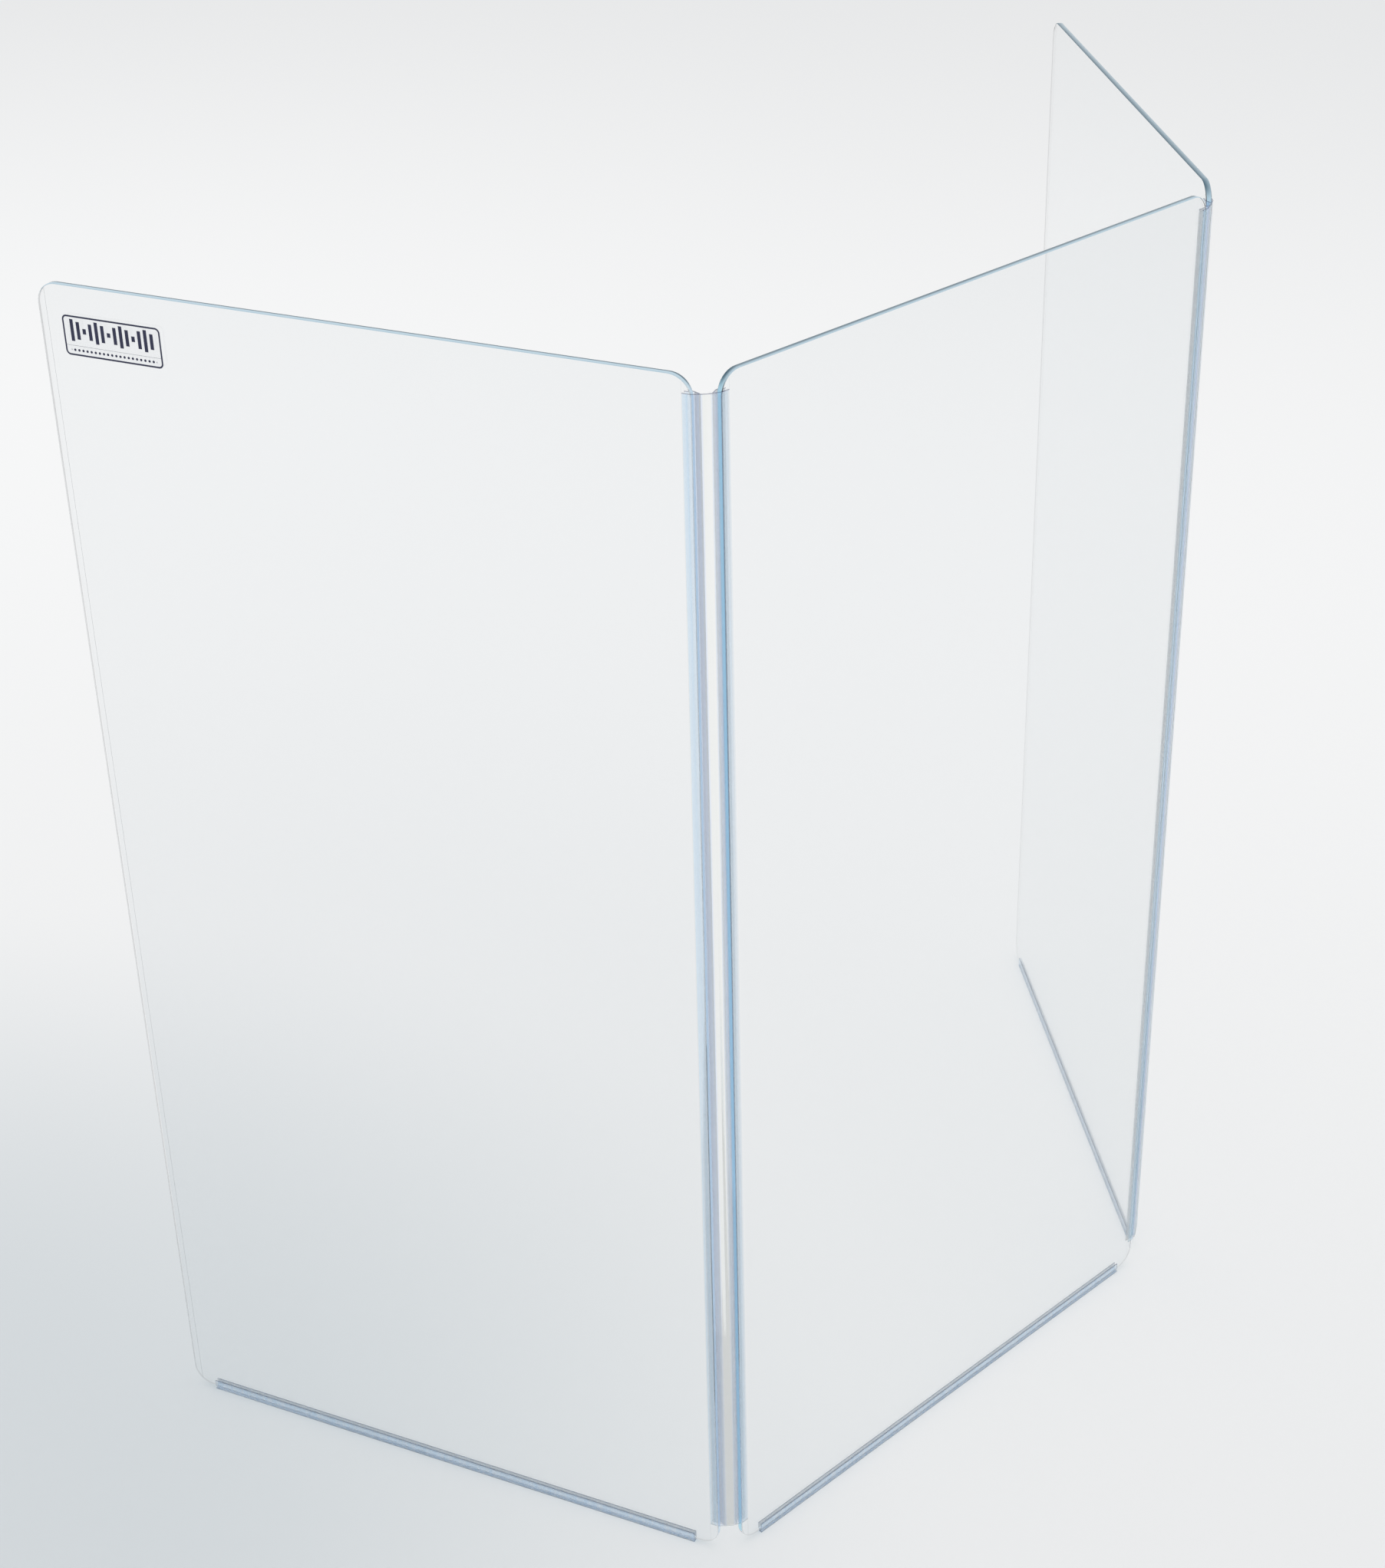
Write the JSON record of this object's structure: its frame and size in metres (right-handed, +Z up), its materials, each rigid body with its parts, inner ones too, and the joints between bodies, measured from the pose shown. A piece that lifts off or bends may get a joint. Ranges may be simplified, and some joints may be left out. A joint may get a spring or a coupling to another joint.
{
  "type": "drum shield",
  "caption": "Folding see-through drum shield: clear acrylic sheets stand on edge in foot strips, joined by full-height flexible push-on hinges so the side sheets fold round the kit.",
  "frame": {"origin": "on the floor, under the centre of the box that holds the shield as it stands folded round a kit", "axes": "+Z up; the centre sheet lies along X; -Y towards the audience, +Y towards the drummer; -X is the side of the label"},
  "size_m": [1.244, 0.5832, 1.2224],
  "materials": {
    "acrylic": "clear cast acrylic sheet, polished faces and edges, faint blue-green edge tint",
    "hinge_vinyl": "clear flexible vinyl extrusion with a faint blue tint",
    "foot_vinyl": "clear semi-rigid vinyl extrusion with a faint blue-violet tint",
    "label_film": "thin printed self-adhesive film, satin"
  },
  "bodies": {
    "centre_panel": {"centre_panel": "acrylic", "centre_foot_strip": "foot_vinyl", "left_hinge_inner_channel": "hinge_vinyl", "right_hinge_inner_channel": "hinge_vinyl"},
    "left_web": {"left_hinge_web": "hinge_vinyl"},
    "left_panel": {"left_panel": "acrylic", "left_foot_strip": "foot_vinyl", "left_hinge_outer_channel": "hinge_vinyl", "label_sticker": "label_film"},
    "right_web": {"right_hinge_web": "hinge_vinyl"},
    "right_panel": {"right_panel": "acrylic", "right_foot_strip": "foot_vinyl", "right_hinge_outer_channel": "hinge_vinyl"}
  },
  "joints": [
    {"name": "left_inner_bend", "type": "hinge", "parent": "centre_panel", "child": "left_web", "pos_m": [-0.38542, -0.2876, 0], "axis": [0, 0, -1], "range_deg": [-79.2, 55.8]},
    {"name": "left_outer_bend", "type": "hinge", "parent": "left_web", "child": "left_panel", "pos_m": [-0.39253, -0.28277, 0], "axis": [0, 0, -1], "range_deg": [-79.2, 55.8]},
    {"name": "right_inner_bend", "type": "hinge", "parent": "centre_panel", "child": "right_web", "pos_m": [0.23858, -0.2876, 0], "axis": [0, 0, 1], "range_deg": [-116.35, 18.65]},
    {"name": "right_outer_bend", "type": "hinge", "parent": "right_web", "child": "right_panel", "pos_m": [0.24629, -0.28379, 0], "axis": [0, 0, 1], "range_deg": [-116.35, 18.65]}
  ]
}
